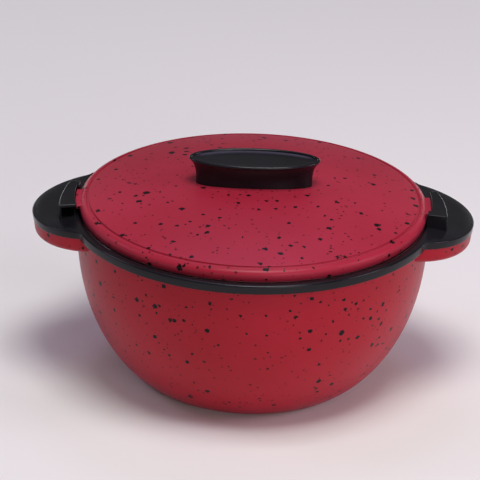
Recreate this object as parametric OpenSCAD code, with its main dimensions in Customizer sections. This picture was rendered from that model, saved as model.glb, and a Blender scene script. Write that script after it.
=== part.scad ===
// Insulated chapati casserole: a double-walled bowl with a steel liner, a black collar with
// two ears, and a foam-filled lid that drops in and turns a few degrees under two catches.
// Millimetres, +Z up, origin on the floor at the centre of the foot. The ears lie along X.

/* [Bowl] */
// Height of the red shell, from the floor to the underside of the collar
bowl_h = 114; // [95:1:140]
// Outside radius of the red shell at its rim
bowl_r = 120; // [110:0.5:130]
// Outside radius of the flat foot
base_r = 72; // [60:1:85]
// Wall of the red shell
bowl_wall = 2.6; // [2:0.1:3.4]
// How strongly the belly swells outward, as a power of the cosine
belly_flare = 1.5; // [1.2:0.05:2]
// How late the belly turns under, as a power of the sine
belly_drop = 0.84; // [0.7:0.02:1]
// Width of the ring that the bowl stands on
foot_w = 9; // [6:0.5:14]
// Depth of the hollow inside that ring
foot_recess = 2; // [1:0.25:4]
// Radius of the hole that the foam is poured through
fill_r = 8; // [5:0.5:12]

/* [Steel liner] */
// Foam thickness between shell and liner at the rim
foam_gap = 8; // [6:0.5:12]
// Foam thickness under the liner
foam_floor = 12; // [8:0.5:20]
// Sheet thickness of the liner
liner_t = 0.6; // [0.4:0.1:1.2]
// Radius of the liner's flat bottom
liner_base_r = 58; // [45:1:70]

/* [Collar] */
// Height of the collar's outer band
collar_h = 6; // [5.5:0.25:9]
// How far the collar stands out past the shell
collar_lip = 5; // [3:0.25:7]
// Width of the collar's top, from its edge in to the lid's seat
rim_w = 5.4; // [4.5:0.1:7]
// Depth of the lid's seat below the collar's top
seat_drop = 2; // [1.5:0.1:2.6]
// Thickness of the ledge that carries the liner
ledge_t = 2.5; // [1.8:0.1:3]
// Length of the spigot inside the shell
spigot_h = 6; // [4:0.5:10]
// Wall of that spigot
spigot_t = 2.2; // [1.6:0.1:3]
// Rounding of the collar's top edge
edge_round = 1.2; // [0.6:0.1:1.8]

/* [Ears] */
// How far the ears reach past the collar
ear_reach = 26; // [20:0.5:32]
// Radius of an ear's outline
ear_r = 52; // [46:0.5:58]
// Thickness of the black ear plate at its edge
ear_t = 6; // [5:0.25:8]
// Downward slope of the ears, degrees
ear_tilt = 7; // [4:0.5:9]
// Width of the collar's flat top before an ear starts to slope
ear_flat = 2.4; // [1.8:0.1:3.4]
// Fillet in plan where an ear meets the collar
ear_fillet = 10; // [6:0.5:14]
// Skin of the hollow ear plate
ear_skin = 2.4; // [1.8:0.1:3]
// Depth of the red pan under an ear
pan_depth = 10.5; // [9:0.25:13]
// How far the pan's edge lies inside the plate's edge
pan_inset = 0.3; // [0.2:0.1:2]
// Wall of the pan
pan_wall = 2.2; // [1.8:0.1:2.8]
// Rounding of the pan's lower edge
pan_round = 4.5; // [3:0.25:6]
// Distance from the pan's edge in to each screw
screw_edge = 8; // [7:0.1:10]
// Turn from the ear's centre line to each screw, degrees
screw_turn = 27; // [16:1:34]
// Shank radius of every screw
screw_r = 1.5; // [1.2:0.1:1.8]
// Height of the pads inside a pan that the screws pull against
boss_h = 1.5; // [1:0.1:2.5]

/* [Catches] */
// Angle that a catch covers, degrees
catch_span = 19; // [17:0.5:24]
// Turn of each catch from the ear's centre line towards the front, degrees
catch_shift = 2; // [0:0.5:3]
// Radial width of a catch
catch_w = 10.3; // [8:0.1:12]
// How far nearer the front the centre of a catch's outer arc lies
catch_skew = 20; // [0:1:24]
// Height of a catch above the collar's top
catch_h = 9.6; // [8.4:0.1:11]
// Roof thickness of a catch
roof_t = 2.4; // [1.8:0.1:3]
// Wall thickness of a catch
catch_wall = 1.8; // [1.6:0.1:3]
// Angle of the roofed pocket at a catch's closed end, degrees
pocket_span = 3.4; // [3:0.2:5]
// Angle of the wall that closes that end, degrees
end_wall = 1.2; // [1:0.1:1.6]

/* [Lid] */
// Radial gap between the lid and the collar
lid_gap = 1.1; // [0.6:0.1:1.8]
// Height of the lid's rounded side
lid_side_h = 8.8; // [8.2:0.1:11]
// Height at which the rounded side is widest, above the lid's lower edge
lid_belly_h = 4.8; // [3:0.1:5.4]
// How far the lid's side curves back in below that line
lid_tuck = 1.6; // [0.8:0.1:1.6]
// Rise of the dome above the lid's shoulder
dome_h = 11.7; // [8:0.1:16]
// Wall of the red lid shell
lid_wall = 2.4; // [1.8:0.1:2.8]
// Radial width of the rounded shoulder
shoulder_w = 5; // [4:0.1:8]
// Radius of the fine groove around the dome
groove_r = 1; // [0.6:0.1:1.2]
// Depth of the lid's inner cover below its rim
cover_depth = 10.5; // [8:0.5:16]
// Sheet thickness of the inner cover
cover_t = 0.5; // [0.4:0.1:1]
// Rounding of the inner cover's lower edge
cover_round = 3; // [2:0.25:5]
// Gap between the cover's skirt and the liner
cover_gap = 3; // [2:0.25:5]
// Height of the seal ring
seal_h = 2.5; // [2:0.1:3.2]
// Width of the seal ring
seal_w = 4; // [3:0.1:5]
// Chamfer on the seal ring's upper edges
seal_edge = 0.6; // [0.3:0.1:1]
// Thickness of a lug
lug_t = 2.6; // [2:0.1:3]
// How far a lug stands out from the lid's side
lug_reach = 2.5; // [2:0.1:2.9]
// Length of a lug as an angle, degrees
lug_span = 13.3; // [10:0.1:14]
// Angle between a lug and the pocket's roof when the lid is set down, degrees
lug_play = 0.3; // [0.3:0.05:0.8]

/* [Knob] */
// Length of the knob's top
knob_l = 89; // [75:1:100]
// Width of the knob's top
knob_w = 35; // [30:0.5:42]
// Height of the knob above the dome
knob_h = 17.7; // [15:0.1:22]
// How far the knob's side is drawn in at its foot
knob_waist = 5; // [3:0.25:7]
// Height of the rounded lip round the knob's top
knob_lip = 1.2; // [0.8:0.1:1.6]
// Width of that lip
lip_w = 2.4; // [1.8:0.1:3]
// Depth of the finger dish in the knob's top
dish_d = 2.2; // [1.2:0.1:2.8]
// Width of the slope from the lip down into the dish
dish_slope = 6.6; // [5:0.1:9]
// Wall of the hollow knob
knob_wall = 2.8; // [2.2:0.1:3.4]
// Distance from the knob's centre to each screw
knob_screw_x = 22; // [16:0.5:28]

/* [Fits] */
// Clearance between moulded pieces that slide together
slip = 0.3; // [0.2:0.05:0.4]
// Clearance of the lid's lower edge over the liner's flange
lid_clear = 0.6; // [0.4:0.1:1]
// Radial clearance round a screw's thread
thread_fit = 0.05; // [0.02:0.01:0.1]
// Radial clearance round a screw's shank in a plain hole
hole_fit = 0.3; // [0.2:0.05:0.5]

/* [Hidden] */
$fn = 96;

RED = [0.68, 0.13, 0.2];
BLACK = [0.1, 0.1, 0.12];
STEEL = [0.78, 0.78, 0.8];
FOAM = [0.93, 0.87, 0.68];

// Heights, from the floor up
floor_z = foot_recess + bowl_wall;
liner_z = floor_z + foam_floor;
rim_z = bowl_h;
top_z = rim_z + collar_h;
seat_z = top_z - seat_drop;
flange_z = seat_z + liner_t;
seal_top = flange_z + seal_h;
cover_z = seal_top - cover_depth;
lid_z = flange_z + lid_clear;
shoulder_z = lid_z + lid_side_h;
dome_z = shoulder_z + dome_h;

// Radii, from the collar inward
collar_r = bowl_r + collar_lip;
seat_r = collar_r - rim_w;
lid_r = seat_r - lid_gap;
dome_r = lid_r - shoulder_w;
shell_in_r = bowl_r - bowl_wall;
liner_r = shell_in_r - foam_gap;
spigot_r = shell_in_r - slip;
flange_r = seat_r - lid_gap - slip;
cover_r = lid_r - lid_wall - slip;
skirt_r = liner_r - cover_gap;
seal_r = cover_r - slip;
dome_ball = (dome_r * dome_r + dome_h * dome_h) / (2 * dome_h);

// Ear outline: a circle whose far side is the ear's tip
ear_x = collar_r + ear_reach - ear_r;
tilt_x = seat_r + ear_flat;
pan_r = ear_r - pan_inset;
pan_in_r = pan_r - pan_wall;
head_r = 2.1 * screw_r;
head_h = 1.25 * screw_r;
post_r = screw_r + 2.1;
head_seat = head_h + 0.1;
side_h = knob_h - knob_lip;

// Underside of the flat pads in the lid that the knob's screws bear on
screw_pad_z = dome_z - knob_screw_x * knob_screw_x / (2 * dome_ball) - lid_wall - 0.8;

// Catches and lugs, all measured from the ear's centre line
lug_r = lid_r + lug_reach;
roof_in_r = lug_r + slip;
catch_r = roof_in_r + catch_w;
catch_z = top_z + catch_h;
lug_z = catch_z - roof_t - slip - lug_t;
lug_rear = catch_span / 2 - pocket_span - lug_play;
belly_n = 22;

// Points from a shell's rim down to its foot: radius and height each follow a power curve
function belly(rim, foot, h) = [
    for (i = [0 : belly_n])
        let (t = 90 * i / belly_n)
        [foot + (rim - foot) * pow(cos(t), belly_flare), h * (1 - pow(sin(t), belly_drop))]
];
function lifted(pts, z) = [for (p = pts) [p[0], p[1] + z]];
function reversed(pts) = [for (i = [len(pts) - 1 : -1 : 0]) pts[i]];
// Points on an ellipse arc in the r-z plane
function arc(cr, cz, rr, rz, from, to, n = 8) = [
    for (i = [0 : n])
        let (a = from + (to - from) * i / n)
        [cr + rr * cos(a), cz + rz * sin(a)]
];
// Points on the dome, thinned by a wall, from the axis outward
function dome(wall, out_r, n = 14) = [
    for (i = [0 : n])
        let (r = out_r * i / n, ball = dome_ball - wall)
        [r, dome_z - dome_ball + sqrt(ball * ball - r * r)]
];

module both_ears() {
    for (a = [0, 180])
        rotate([0, 0, a])
            children();
}

// Puts what is drawn for a level ear, heights counted from the collar's top, on the slope
module ear_slope() {
    translate([tilt_x, 0, top_z])
        rotate([0, ear_tilt, 0])
            translate([-tilt_x, 0, 0])
                children();
}

module at_ear_screws() {
    for (s = [-1, 1])
        translate([ear_x + (pan_r - screw_edge) * cos(screw_turn),
                   s * (pan_r - screw_edge) * sin(screw_turn), 0])
            children();
}

module sector(r0, r1, a0, a1, z0, z1) {
    rotate([0, 0, a0])
        rotate_extrude(angle = a1 - a0)
            translate([r0, z0])
                square([r1 - r0, z1 - z0]);
}

// Puts what is drawn for the +X side on both sides, each turned a little towards the front
module both_catches() {
    for (side = [0, 1])
        rotate([0, 0, side * 180 + (2 * side - 1) * catch_shift])
            children(side % $children);
}

// A flat disc of radius r with its lower edge rounded, its top at height 0
module round_pan(r, depth, edge) {
    rotate_extrude()
        polygon(concat([[0, 0], [r, 0]],
                       arc(r - edge, edge - depth, edge, edge, 0, -90),
                       [[0, -depth]]));
}

module belly_solid(shrink) {
    rotate_extrude()
        polygon(concat(belly(bowl_r - shrink, base_r - shrink, bowl_h),
                       [[0, 0], [0, bowl_h]]));
}

module ear_pan() {
    difference() {
        ear_slope()
            difference() {
                union() {
                    difference() {
                        translate([ear_x, 0, -ear_t])
                            round_pan(pan_r, pan_depth, pan_round);
                        translate([ear_x, 0, -ear_t + 0.01])
                            round_pan(pan_in_r, pan_depth - pan_wall + 0.01, pan_round - pan_wall);
                    }
                    at_ear_screws()
                        translate([0, 0, -ear_t - pan_depth + pan_wall / 2])
                            cylinder(r = post_r + 1, h = pan_wall / 2 + boss_h);
                }
                at_ear_screws() {
                    translate([0, 0, -ear_t - pan_depth - 1])
                        cylinder(r = head_r + hole_fit, h = head_seat + 1);
                    translate([0, 0, -ear_t - pan_depth - 1])
                        cylinder(r = screw_r + hole_fit, h = pan_depth);
                }
            }
        belly_solid(bowl_wall / 2);
        translate([0, 0, rim_z - slip / 2])
            cylinder(r = collar_r + ear_r, h = ear_r);
    }
}

module outer_bowl() {
    color(RED) {
        rotate_extrude()
            polygon(concat(belly(bowl_r, base_r, bowl_h),
                           [[base_r - foot_w, 0], [base_r - foot_w, foot_recess],
                            [fill_r, foot_recess], [fill_r, floor_z]],
                           reversed(lifted(belly(shell_in_r, base_r - bowl_wall, bowl_h - floor_z),
                                           floor_z))));
        both_ears()
            ear_pan();
    }
}

module base_plug() {
    color(BLACK) {
        translate([0, 0, foot_recess])
            cylinder(r = fill_r - slip / 2, h = bowl_wall);
        translate([0, 0, foot_recess - 1])
            cylinder(r = fill_r + 2.5, h = 1);
    }
}

module bowl_foam() {
    color(FOAM)
        rotate_extrude()
            difference() {
                polygon(concat(lifted(belly(shell_in_r, base_r - bowl_wall, bowl_h - floor_z), floor_z),
                               [[0, floor_z], [0, bowl_h]]));
                polygon(concat(lifted(belly(liner_r, liner_base_r, seat_z - liner_z), liner_z),
                               [[0, liner_z], [0, seat_z]]));
                translate([spigot_r - spigot_t, rim_z - spigot_h])
                    square([foam_gap, spigot_h + 1]);
            }
}

module inner_bowl() {
    color(STEEL)
        rotate_extrude()
            polygon(concat([[liner_r, seat_z], [flange_r, seat_z], [flange_r, flange_z],
                            [liner_r - liner_t, flange_z]],
                           lifted(belly(liner_r - liner_t, liner_base_r - liner_t / 2,
                                        seat_z - liner_z - liner_t), liner_z + liner_t),
                           [[0, liner_z + liner_t], [0, liner_z]],
                           reversed(lifted(belly(liner_r, liner_base_r, seat_z - liner_z), liner_z))));
}

// Concave fillets between the collar's circle and an ear's circle, in plan
module ear_webs() {
    far = collar_r + ear_fillet;
    near = ear_r + ear_fillet;
    fx = (far * far - near * near + ear_x * ear_x) / (2 * ear_x);
    fy = sqrt(far * far - fx * fx);
    on_collar = [fx, fy] * collar_r / far;
    on_ear = [ear_x, 0] + [fx - ear_x, fy] * ear_r / near;
    for (s = [0, 1])
        mirror([0, s])
            difference() {
                polygon([[ear_x, 0], [0, 0], on_collar, [fx, fy], on_ear]);
                translate([fx, fy])
                    circle(r = ear_fillet);
            }
}

module ear_plate() {
    difference() {
        ear_slope()
            difference() {
                translate([0, 0, -ear_t])
                    linear_extrude(ear_t)
                        union() {
                            translate([ear_x, 0])
                                circle(r = ear_r);
                            ear_webs();
                        }
                difference() {
                    translate([ear_x, 0, -ear_t - 1])
                        cylinder(r = ear_r - ear_skin, h = ear_t - ear_skin + 1);
                    translate([0, 0, -ear_t - 2])
                        cylinder(r = collar_r + 2, h = ear_t + 2);
                }
            }
        translate([0, 0, top_z])
            cylinder(r = collar_r + ear_r, h = ear_r);
        translate([0, 0, rim_z - ear_t])
            cylinder(r = collar_r - 1, h = 2 * ear_t + 2);
    }
}

module ear_posts() {
    ear_slope()
        at_ear_screws()
            translate([0, 0, -ear_t - pan_depth + pan_wall + boss_h])
                difference() {
                    cylinder(r = post_r, h = pan_depth - pan_wall - boss_h + ear_t - ear_skin + 0.5);
                    translate([0, 0, -1])
                        cylinder(r = screw_r + thread_fit, h = pan_depth);
                }
}

// One catch: a roofed channel, open at one end, with a pocket at its closed end. Its outer arc
// is centred nearer the front, which is at the closed end of one catch and the open end of the
// other, so skew is the place of that centre along the catch.
module catch(skew) {
    half = catch_span / 2;
    roof_z = catch_z - roof_t;
    root_z = top_z - ear_t / 2;
    far_r = catch_r + catch_w;
    intersection() {
        translate([0, skew, root_z])
            cylinder(r = catch_r, h = catch_z - root_z);
        union() {
            sector(roof_in_r, far_r, -half, half, roof_z, catch_z);
            sector(seat_r - 1, far_r, -half, -half + end_wall, root_z, catch_z);
            sector(seat_r - 1, far_r, -half, -half + pocket_span, roof_z, catch_z);
            difference() {
                sector(roof_in_r, far_r, -half, half, root_z, catch_z);
                translate([0, skew, root_z - 1])
                    cylinder(r = catch_r - catch_wall, h = catch_z - root_z + 2);
            }
        }
    }
}

module collar_ring() {
    rotate_extrude()
        polygon(concat([[collar_r, rim_z]],
                       arc(collar_r - edge_round, top_z - edge_round, edge_round, edge_round,
                           0, 90, 4),
                       [[seat_r - 1, top_z], [seat_r - 1, seat_z], [liner_r + slip, seat_z],
                        [liner_r + slip, seat_z - ledge_t], [spigot_r - spigot_t, seat_z - ledge_t],
                        [spigot_r - spigot_t, rim_z - spigot_h],
                        [spigot_r, rim_z - spigot_h], [spigot_r, rim_z]]));
}

module rim_collar() {
    color(BLACK)
        difference() {
            union() {
                collar_ring();
                both_ears() {
                    ear_plate();
                    ear_posts();
                }
                both_catches() {
                    catch(-catch_skew);
                    catch(catch_skew);
                }
            }
            translate([0, 0, seat_z])
                cylinder(r = seat_r, h = 2 * catch_h);
        }
}

module screw(length) {
    cylinder(r = screw_r, h = length);
    translate([0, 0, -head_h])
        cylinder(r = head_r, h = head_h);
}

module ear_screws() {
    color(STEEL)
        both_ears()
            ear_slope()
                at_ear_screws()
                    translate([0, 0, -ear_t - pan_depth + head_seat])
                        screw(pan_depth - head_seat);
}

module lid_seal() {
    color(BLACK)
        translate([0, 0, flange_z])
            rotate_extrude()
                translate([seal_r - seal_w, 0])
                    polygon([[0, 0], [seal_w, 0], [seal_w, seal_h - seal_edge],
                             [seal_w - seal_edge, seal_h], [seal_edge, seal_h],
                             [0, seal_h - seal_edge]]);
}

// Outline of the lid shell from the dome's edge down to its widest line, thinned by a wall
function lid_side(wall) =
    arc(dome_r, lid_z + lid_belly_h, shoulder_w - wall, lid_side_h - lid_belly_h - wall, 90, 0);

module lug() {
    sector(lid_r - lid_wall + 0.1, lug_r, -lug_rear, lug_span - lug_rear, lug_z, lug_z + lug_t);
}

module lid_shell() {
    color(RED)
        difference() {
            union() {
                rotate_extrude()
                    difference() {
                        polygon(concat(dome(0, dome_r), lid_side(0),
                                       arc(lid_r - lid_tuck, lid_z + lid_belly_h, lid_tuck,
                                           lid_belly_h, -15, -90, 5),
                                       [[lid_r - lid_wall, lid_z]],
                                       reversed(lid_side(lid_wall)),
                                       reversed(dome(lid_wall, dome_r))));
                        translate([dome_r - groove_r / 2, shoulder_z])
                            circle(r = groove_r, $fn = 24);
                    }
                both_catches()
                    lug();
                for (s = [-1, 1])
                    translate([s * knob_screw_x, 0, screw_pad_z])
                        cylinder(r = head_r + 1.5, h = lid_wall);
            }
            for (s = [-1, 1])
                translate([s * knob_screw_x, 0, screw_pad_z - 1])
                    cylinder(r = screw_r + hole_fit, h = dome_h);
        }
}

// Inside of the cover's pan, from the top of its skirt to the axis
function cover_inside() = concat(
    [[skirt_r - cover_t, seal_top + cover_t]],
    arc(skirt_r - cover_round, cover_z + cover_round, cover_round - cover_t, cover_round - cover_t,
        0, -90),
    [[0, cover_z + cover_t]]);

module lid_cover() {
    color(STEEL)
        rotate_extrude()
            polygon(concat([[skirt_r, seal_top], [cover_r, seal_top], [cover_r, seal_top + cover_t]],
                           cover_inside(), [[0, cover_z], [skirt_r - cover_round, cover_z]],
                           arc(skirt_r - cover_round, cover_z + cover_round, cover_round, cover_round,
                               -90, 0)));
}

module lid_foam() {
    color(FOAM)
        difference() {
            rotate_extrude()
                polygon(concat(reversed(cover_inside()), [[cover_r, seal_top + cover_t]],
                               [for (p = reversed(lid_side(lid_wall))) if (p[1] > seal_top + cover_t) p],
                               reversed(dome(lid_wall, dome_r))));
            for (s = [-1, 1])
                translate([s * knob_screw_x, 0, screw_pad_z - head_h])
                    cylinder(r = head_r + 1.5, h = dome_h);
        }
}

// A closed solid of oval slices, each given as its inset from the top's outline and its height
module oval_loft(slices) {
    n = 48;
    rings = len(slices);
    pts = [
        for (s = slices)
            for (i = [0 : n - 1])
                let (a = 360 * i / n)
                [(knob_l / 2 - s[0]) * cos(a), (knob_w / 2 - s[0]) * sin(a), s[1]]
    ];
    sides = [
        for (k = [0 : rings - 2])
            for (i = [0 : n - 1])
                let (j = (i + 1) % n)
                [k * n + i, (k + 1) * n + i, (k + 1) * n + j, k * n + j]
    ];
    polyhedron(points = pts,
               faces = concat(sides, [[for (i = [0 : n - 1]) i]],
                              [[for (i = [n - 1 : -1 : 0]) (rings - 1) * n + i]]),
               convexity = 6);
}

// Slices of the dish, from the lip down to its flat middle
knob_dish = [
    for (a = [45, 90])
        [lip_w + dish_slope * a / 90, side_h - (dish_d - knob_lip) * sin(a)]
];
// Inset of the knob's side at a share q of its height: steep at the foot, flaring at the top
function knob_inset(q) = knob_waist * (1 - pow(q, 3.2));

module knob() {
    color(BLACK)
        difference() {
            union() {
                difference() {
                    translate([0, 0, dome_z])
                        oval_loft(concat([[knob_waist, -2]],
                                         [for (q = [0 : 0.125 : 0.9]) [knob_inset(q), q * side_h]],
                                         arc(lip_w / 2, side_h, lip_w / 2, knob_lip, 180, 0, 5),
                                         knob_dish));
                    translate([0, 0, dome_z])
                        oval_loft([for (q = [-0.25, 0.2, 0.5, 0.75])
                                   [knob_inset(max(q, 0)) + knob_wall, q * side_h]]);
                }
                for (s = [-1, 1])
                    translate([s * knob_screw_x, 0, dome_z - 2])
                        cylinder(r = post_r, h = 0.75 * side_h + 3);
            }
            for (s = [-1, 1])
                translate([s * knob_screw_x, 0, dome_z - 3])
                    cylinder(r = screw_r + thread_fit, h = 0.6 * knob_h + 3);
            rotate_extrude()
                polygon(concat(dome(0, dome_r), [[dome_r, rim_z], [0, rim_z]]));
        }
}

module knob_screws() {
    color(STEEL)
        for (s = [-1, 1])
            translate([s * knob_screw_x, 0, screw_pad_z])
                screw(lid_wall + 0.5 * knob_h);
}

outer_bowl();
base_plug();
bowl_foam();
inner_bowl();
rim_collar();
ear_screws();
lid_seal();
lid_shell();
lid_foam();
lid_cover();
knob();
knob_screws();
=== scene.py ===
from math import atan, cos, radians, sin

import bmesh
import bpy
import numpy as np
from mathutils import Matrix, Vector
from mathutils.geometry import tessellate_polygon


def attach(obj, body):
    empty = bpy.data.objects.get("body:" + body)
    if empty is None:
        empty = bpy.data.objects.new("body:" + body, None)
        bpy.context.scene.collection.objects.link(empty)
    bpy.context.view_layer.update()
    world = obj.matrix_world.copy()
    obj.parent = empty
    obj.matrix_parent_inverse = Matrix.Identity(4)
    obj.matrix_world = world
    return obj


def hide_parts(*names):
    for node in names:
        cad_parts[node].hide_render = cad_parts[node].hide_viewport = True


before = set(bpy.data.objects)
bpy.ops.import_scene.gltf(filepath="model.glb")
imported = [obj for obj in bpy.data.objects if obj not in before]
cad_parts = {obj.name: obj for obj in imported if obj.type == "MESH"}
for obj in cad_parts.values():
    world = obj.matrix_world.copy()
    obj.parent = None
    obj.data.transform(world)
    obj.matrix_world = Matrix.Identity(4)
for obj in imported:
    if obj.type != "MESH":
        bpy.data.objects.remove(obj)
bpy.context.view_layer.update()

# ---------------------------------------------------------------------------------------
# The view. A long lens looks down on the casserole by 24 degrees, with one ear to the left and
# one to the right, and the picture is turned by under two degrees.
eye_distance = 2.0
eye_height = radians(23.91)
eye_roll = radians(-1.74)
aim = Vector((0, 0, 0.114))
picture, film = 480, 36
lens_pixels = 2930
aim_pixel = (253.0, 216.2)

forward = Vector((0, cos(eye_height), -sin(eye_height)))
right = Matrix.Rotation(eye_roll, 3, forward) @ Vector((1, 0, 0))
up = Matrix.Rotation(eye_roll, 3, forward) @ Vector((0, sin(eye_height), cos(eye_height)))
eye_place = aim - eye_distance * forward
pan = Matrix.Rotation(atan((aim_pixel[0] - picture / 2) / lens_pixels), 3, up)
forward, right = pan @ forward, pan @ right
nod = Matrix.Rotation(atan((aim_pixel[1] - picture / 2) / lens_pixels), 3, right)
forward, up = nod @ forward, nod @ up
eye = bpy.data.objects.new("eye", bpy.data.cameras.new("eye"))
eye.data.sensor_width = film
eye.data.lens = lens_pixels * film / picture
eye.data.clip_start, eye.data.clip_end = 0.05, 50
eye.matrix_world = Matrix((
    (right.x, up.x, -forward.x, eye_place.x),
    (right.y, up.y, -forward.y, eye_place.y),
    (right.z, up.z, -forward.z, eye_place.z),
    (0, 0, 0, 1)))
bpy.context.scene.collection.objects.link(eye)
bpy.context.scene.camera = eye
bpy.context.scene.view_settings.view_transform = "Standard"

# ---------------------------------------------------------------------------------------
# Outer bowl. One moulding in crimson polypropylene with black flecks in it: a thin belly
# that swells from a narrow foot ring to the rim, 114 mm up.
mm = 0.001
rim_z, bowl_r, base_r, bowl_wall = 114, 120, 72, 2.6
foot_w, foot_recess, fill_r = 9, 2, 8
floor_z = foot_recess + bowl_wall


def belly(rim, foot, height, low=0.0, n=80):
    """Points (r, z) down a bowl's side. With t from 0 to 90 degrees, r is
    foot + (rim - foot) * cos(t)**1.5 and z is low + height * (1 - sin(t)**0.84)."""
    t = np.radians(np.linspace(0, 90, n))
    c = np.clip(np.cos(t), 0, 1)
    return np.stack([foot + (rim - foot) * c ** 1.5, low + height * (1 - np.sin(t) ** 0.84)], 1)


def softened(points, radii, n=6):
    """Rounds the corners of a closed outline. A corner becomes an arc of its radius that
    touches both sides, shortened where a side is short, and repeated points are dropped."""
    p = np.asarray(points, float)
    radius = np.broadcast_to(np.asarray(radii, float), (len(p),))
    back, ahead = np.roll(p, 1, 0) - p, np.roll(p, -1, 0) - p
    back_l, ahead_l = np.linalg.norm(back, axis=1), np.linalg.norm(ahead, axis=1)
    back, ahead = back / back_l[:, None], ahead / ahead_l[:, None]
    half = np.arccos(np.clip((back * ahead).sum(1), -1, 1)) / 2
    reach = np.minimum(radius / np.tan(half), 0.48 * np.minimum(back_l, ahead_l))
    bend = np.pi - 2 * half
    flat = (reach < 1e-6) | (bend < 1e-3)
    middle = back + ahead
    length = np.linalg.norm(middle, axis=1)
    middle = middle / np.where(length < 1e-9, 1, length)[:, None]
    centre = p + middle * (reach / np.cos(half))[:, None]
    s = np.linspace(0, 1, n)[None, :, None]
    turn = np.where(flat, 1.0, bend)[:, None, None]
    first, last = (p + back * reach[:, None] - centre), (p + ahead * reach[:, None] - centre)
    arc = (np.sin((1 - s) * turn) * first[:, None] + np.sin(s * turn) * last[:, None])
    arc = centre[:, None] + arc / np.sin(turn)
    arc = np.where(flat[:, None, None], p[:, None], arc).reshape(-1, 2)
    keep = np.linalg.norm(arc - np.roll(arc, 1, 0), axis=1) > 1e-4
    return arc[keep]


def skin(name, places, faces, body, slot, material, crease=35):
    """A piece from an array of places in millimetres and an array of faces. Places that
    coincide are joined, and faces point outwards."""
    mesh = bpy.data.meshes.new(name)
    corners = [list(dict.fromkeys(face)) for face in np.asarray(faces).tolist()]
    mesh.from_pydata((np.asarray(places) * mm).tolist(), [], corners)
    shell = bmesh.new()
    shell.from_mesh(mesh)
    bmesh.ops.remove_doubles(shell, verts=shell.verts, dist=1e-7)
    bmesh.ops.dissolve_degenerate(shell, edges=shell.edges, dist=1e-7)
    bmesh.ops.recalc_face_normals(shell, faces=shell.faces)
    shell.to_mesh(mesh)
    shell.free()
    mesh.shade_smooth()
    mesh.set_sharp_from_angle(angle=radians(crease))
    mesh.materials.append(material)
    piece = bpy.data.objects.new(name, mesh)
    bpy.context.scene.collection.objects.link(piece)
    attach(piece, body)
    return piece


def lattice(rows, columns, round_rows, round_columns):
    """Four-sided faces over a grid of rows by columns, which may close on itself."""
    i = np.arange(rows if round_rows else rows - 1)[:, None]
    j = np.arange(columns if round_columns else columns - 1)[None, :]
    i1, j1 = (i + 1) % rows, (j + 1) % columns
    quad = [i * columns + j, i * columns + j1, i1 * columns + j1, i1 * columns + j]
    return np.stack([np.broadcast_to(q, (i.size, j.size)) for q in quad], -1).reshape(-1, 4)


def turned(name, outline, body, slot, material, turns=180, crease=35):
    """A turned piece. Point (r, z) of the closed outline, at turn a, lies at
    (r cos a, r sin a, z)."""
    a = 2 * np.pi * np.arange(turns) / turns
    r, z = outline[:, 0][:, None], outline[:, 1][:, None]
    places = np.stack([r * np.cos(a), r * np.sin(a), z + 0 * a], -1).reshape(-1, 3)
    return skin(name, places, lattice(len(outline), turns, True, True), body, slot, material, crease)


def nodes_of(name, group_inputs=None, group_outputs=None):
    """A new material and its tree, or a node group with named inputs and outputs."""
    if group_inputs is None:
        material = bpy.data.materials.new(name)
        material.use_nodes = True
        return material, material.node_tree
    tree = bpy.data.node_groups.new(name, "ShaderNodeTree")
    for title, kind, value in group_inputs:
        socket = tree.interface.new_socket(title, in_out="INPUT", socket_type=kind)
        if value is not None:
            socket.default_value = value
    for title, kind in group_outputs:
        tree.interface.new_socket(title, in_out="OUTPUT", socket_type=kind)
    return tree


def node(tree, kind, settings=None, **wires):
    """Adds a node. Settings are its properties; a wire is a value or another node's socket,
    and its name is the input's name with _ for a space, or in_0, in_1 by number."""
    made = tree.nodes.new(kind)
    for key, value in (settings or {}).items():
        setattr(made, key, value)
    for key, value in wires.items():
        socket = made.inputs[int(key[3:]) if key.startswith("in_") else key.replace("_", " ")]
        if isinstance(value, bpy.types.NodeSocket):
            tree.links.new(value, socket)
        else:
            socket.default_value = value
    return made


def maths(tree, operation, *values, **settings):
    """Result of a Math node. Each value is a number or another node's socket."""
    wires = {f"in_{k}": value for k, value in enumerate(values)}
    return node(tree, "ShaderNodeMath", {"operation": operation, **settings}, **wires).outputs[0]


# Flecks: grains of pigment scattered through the plastic. The surface cuts them at any
# height, so they show as small ragged discs of all sizes up to the given one. Lengths are in
# metres, and a fleck's edge fades over 1 / sharpness.
sharpness = 9000.0
flecks = nodes_of("flecks", [
    ("Vector", "NodeSocketVector", None), ("Spacing", "NodeSocketFloat", 0.008),
    ("Size", "NodeSocketFloat", 0.0016), ("Share", "NodeSocketFloat", 0.9),
    ("Ragged", "NodeSocketFloat", 0.4)], [("Mask", "NodeSocketFloat")])
given, made = node(flecks, "NodeGroupInput").outputs, node(flecks, "NodeGroupOutput").inputs
wobble = node(flecks, "ShaderNodeTexNoise", Vector=given["Vector"], Scale=700.0, Detail=1.0)
wobble = node(flecks, "ShaderNodeVectorMath", {"operation": "SUBTRACT"},
              in_0=wobble.outputs["Color"], in_1=(0.5, 0.5, 0.5))
wobble = node(flecks, "ShaderNodeVectorMath", {"operation": "SCALE"}, in_0=wobble.outputs[0],
              Scale=maths(flecks, "MULTIPLY", given["Size"], given["Ragged"]))
place = node(flecks, "ShaderNodeVectorMath", {"operation": "ADD"},
             in_0=given["Vector"], in_1=wobble.outputs[0])
cells = node(flecks, "ShaderNodeTexVoronoi", {"feature": "F1"}, Vector=place.outputs[0],
             Scale=maths(flecks, "DIVIDE", 1.0, given["Spacing"]), Randomness=1.0)
dice = node(flecks, "ShaderNodeSeparateColor", Color=cells.outputs["Color"])
big = maths(flecks, "POWER", dice.outputs["Red"], 1.6)
big = maths(flecks, "MULTIPLY", maths(flecks, "MULTIPLY_ADD", big, 0.5, 0.5), given["Size"])
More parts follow.
